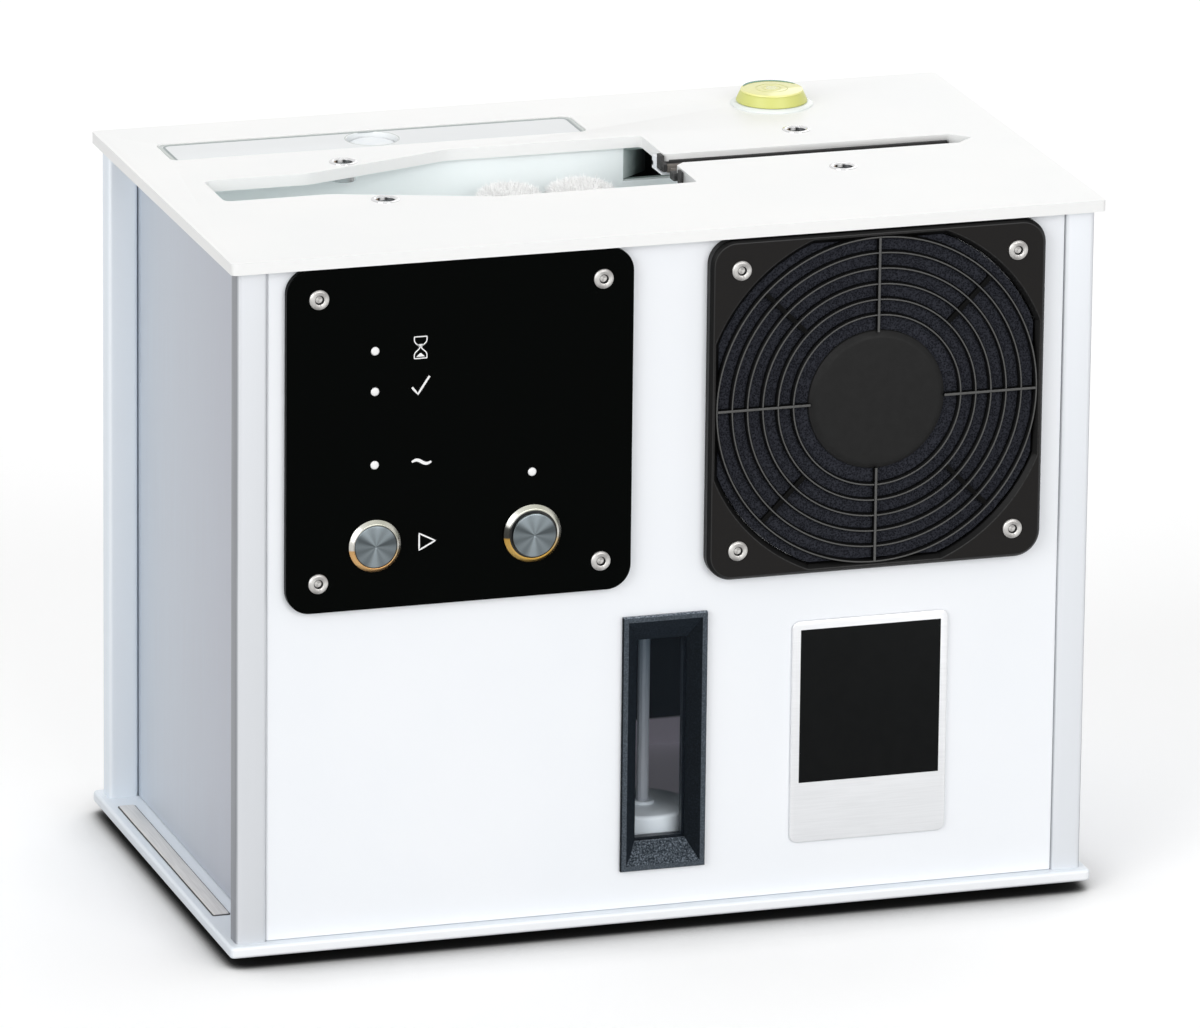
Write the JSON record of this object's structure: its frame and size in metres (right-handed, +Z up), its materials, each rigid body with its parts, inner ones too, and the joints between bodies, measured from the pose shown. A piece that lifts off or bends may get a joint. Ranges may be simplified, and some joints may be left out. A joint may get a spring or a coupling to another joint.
{
  "type": "record cleaning machine",
  "caption": "Bench-top machine that washes an upright record between geared rollers in a bath and dries it with guarded fans; buttons and a level window in front.",
  "frame": {"origin": "centre of the cabinet's footprint, on the surface that the feet stand on", "axes": "+X to the right seen from the control side, +Y from the control side to the back, +Z up"},
  "size_m": [0.328, 0.1952, 0.269],
  "materials": {
    "white_powder": "satin white powder coat",
    "grey_anodised": "fine matt anodised",
    "satin_aluminium": "satin",
    "black_rubber": "matt",
    "brushed_steel": "brushed",
    "gloss_black": "high gloss",
    "chrome": "polished",
    "board_green": "solder mask",
    "satin_black": "satin moulded",
    "black_foam": "open-cell foam",
    "slate_plastic": "satin moulded",
    "clear_plastic": "clear polished",
    "level_fluid": "clear with a yellow-green filling",
    "bath_white": "smooth moulded",
    "white_pile": "soft pile",
    "float_white": "milky translucent",
    "brass": "turned"
  },
  "bodies": {
    "cabinet": {"bottom_plate": "white_powder", "top_plate": "white_powder", "front_panel": "white_powder", "rear_panel": "white_powder", "left_panel": "grey_anodised", "right_panel": "grey_anodised", "front_left_post": "satin_aluminium", "front_right_post": "satin_aluminium", "rear_left_post": "satin_aluminium", "rear_right_post": "satin_aluminium", "gear_plate": "satin_aluminium", "front_left_foot": "black_rubber", "front_right_foot": "black_rubber", "rear_left_foot": "black_rubber", "rear_right_foot": "black_rubber", "front_lip": "black_rubber", "rear_lip": "black_rubber", "fill_hose": "black_rubber", "base_strip": "brushed_steel", "badge_plate": "brushed_steel", "roller_motor": "brushed_steel", "record_drive_motor": "brushed_steel", "ultrasonic_transducer": "brushed_steel", "control_plate": "gloss_black", "start_button_housing": "chrome", "power_button_housing": "chrome", "front_left_bush": "chrome", "rear_left_bush": "chrome", "front_right_bush": "chrome", "rear_right_bush": "chrome", "control_board": "board_green", "front_fan_guard": "satin_black", "front_fan_frame": "satin_black", "rear_fan_guard": "satin_black", "rear_fan_frame": "satin_black", "front_air_duct": "satin_black", "rear_air_duct": "satin_black", "pump": "satin_black", "power_inlet": "satin_black", "front_fan_foam": "black_foam", "window_bezel": "slate_plastic", "reservoir": "slate_plastic", "window_pane": "clear_plastic", "spirit_level": "level_fluid", "wash_bath": "bath_white", "filter_sponge": "white_pile", "drain_coupling": "brass"},
    "start_button_cap": {"start_button_cap": "brushed_steel"},
    "power_button_cap": {"power_button_cap": "brushed_steel"},
    "front_fan_rotor": {"front_fan_rotor": "satin_black"},
    "rear_fan_rotor": {"rear_fan_rotor": "satin_black"},
    "front_left_roller": {"front_left_roller": "white_pile"},
    "rear_left_roller": {"rear_left_roller": "white_pile"},
    "front_right_roller": {"front_right_roller": "white_pile"},
    "rear_right_roller": {"rear_right_roller": "white_pile"},
    "drive_pinion": {"drive_pinion": "brass"},
    "record_drive_wheel": {"record_drive_wheel": "black_rubber"},
    "record_idler_wheel": {"record_idler_wheel": "black_rubber"},
    "level_float": {"level_float": "float_white"},
    "filter_lid": {"filter_lid": "clear_plastic"}
  },
  "joints": [
    {"name": "start_button_press", "type": "slide", "parent": "cabinet", "child": "start_button_cap", "axis": [0, 1, 0], "range_m": [0, 0.002], "stiffness_N_per_m": 500, "springref_m": -0.001},
    {"name": "power_button_press", "type": "slide", "parent": "cabinet", "child": "power_button_cap", "axis": [0, 1, 0], "range_m": [0, 0.0025], "stiffness_N_per_m": 500, "springref_m": -0.001},
    {"name": "front_fan_spin", "type": "hinge", "parent": "cabinet", "child": "front_fan_rotor", "pos_m": [0.0775, -0.0735, 0.19475], "axis": [0, 1, 0], "continuous": true},
    {"name": "rear_fan_spin", "type": "hinge", "parent": "cabinet", "child": "rear_fan_rotor", "pos_m": [0.0775, 0.0735, 0.19475], "axis": [0, 1, 0], "continuous": true},
    {"name": "front_left_roller_spin", "type": "hinge", "parent": "cabinet", "child": "front_left_roller", "pos_m": [-0.027, -0.0145, 0.2], "axis": [0, 0, 1], "continuous": true},
    {"name": "rear_left_roller_spin", "type": "hinge", "parent": "cabinet", "child": "rear_left_roller", "pos_m": [-0.027, 0.0175, 0.2], "axis": [0, 0, 1], "continuous": true},
    {"name": "front_right_roller_spin", "type": "hinge", "parent": "cabinet", "child": "front_right_roller", "pos_m": [0.0005, -0.0145, 0.2], "axis": [0, 0, 1], "continuous": true},
    {"name": "rear_right_roller_spin", "type": "hinge", "parent": "cabinet", "child": "rear_right_roller", "pos_m": [0.0005, 0.0175, 0.2], "axis": [0, 0, 1], "continuous": true},
    {"name": "drive_pinion_spin", "type": "hinge", "parent": "cabinet", "child": "drive_pinion", "pos_m": [-0.039, 0.0015, 0.1275], "axis": [0, 0, 1], "continuous": true},
    {"name": "record_drive_wheel_spin", "type": "hinge", "parent": "cabinet", "child": "record_drive_wheel", "pos_m": [0.06749, 0.0015, 0.16394], "axis": [0, 1, 0], "continuous": true},
    {"name": "record_idler_wheel_spin", "type": "hinge", "parent": "cabinet", "child": "record_idler_wheel", "pos_m": [-0.06499, 0.0015, 0.16394], "axis": [0, 1, 0], "continuous": true},
    {"name": "level_float_rise", "type": "slide", "parent": "cabinet", "child": "level_float", "axis": [0, 0, 1], "range_m": [0, 0.06]},
    {"name": "filter_lid_lift", "type": "slide", "parent": "cabinet", "child": "filter_lid", "axis": [0, 0, 1], "range_m": [0, 0.04]}
  ],
  "couplings": [
    {"joint": "rear_left_roller_spin", "follows": "front_left_roller_spin", "ratio": 1},
    {"joint": "front_right_roller_spin", "follows": "front_left_roller_spin", "ratio": -1},
    {"joint": "rear_right_roller_spin", "follows": "front_left_roller_spin", "ratio": -1},
    {"joint": "drive_pinion_spin", "follows": "front_left_roller_spin", "ratio": -2.2}
  ]
}
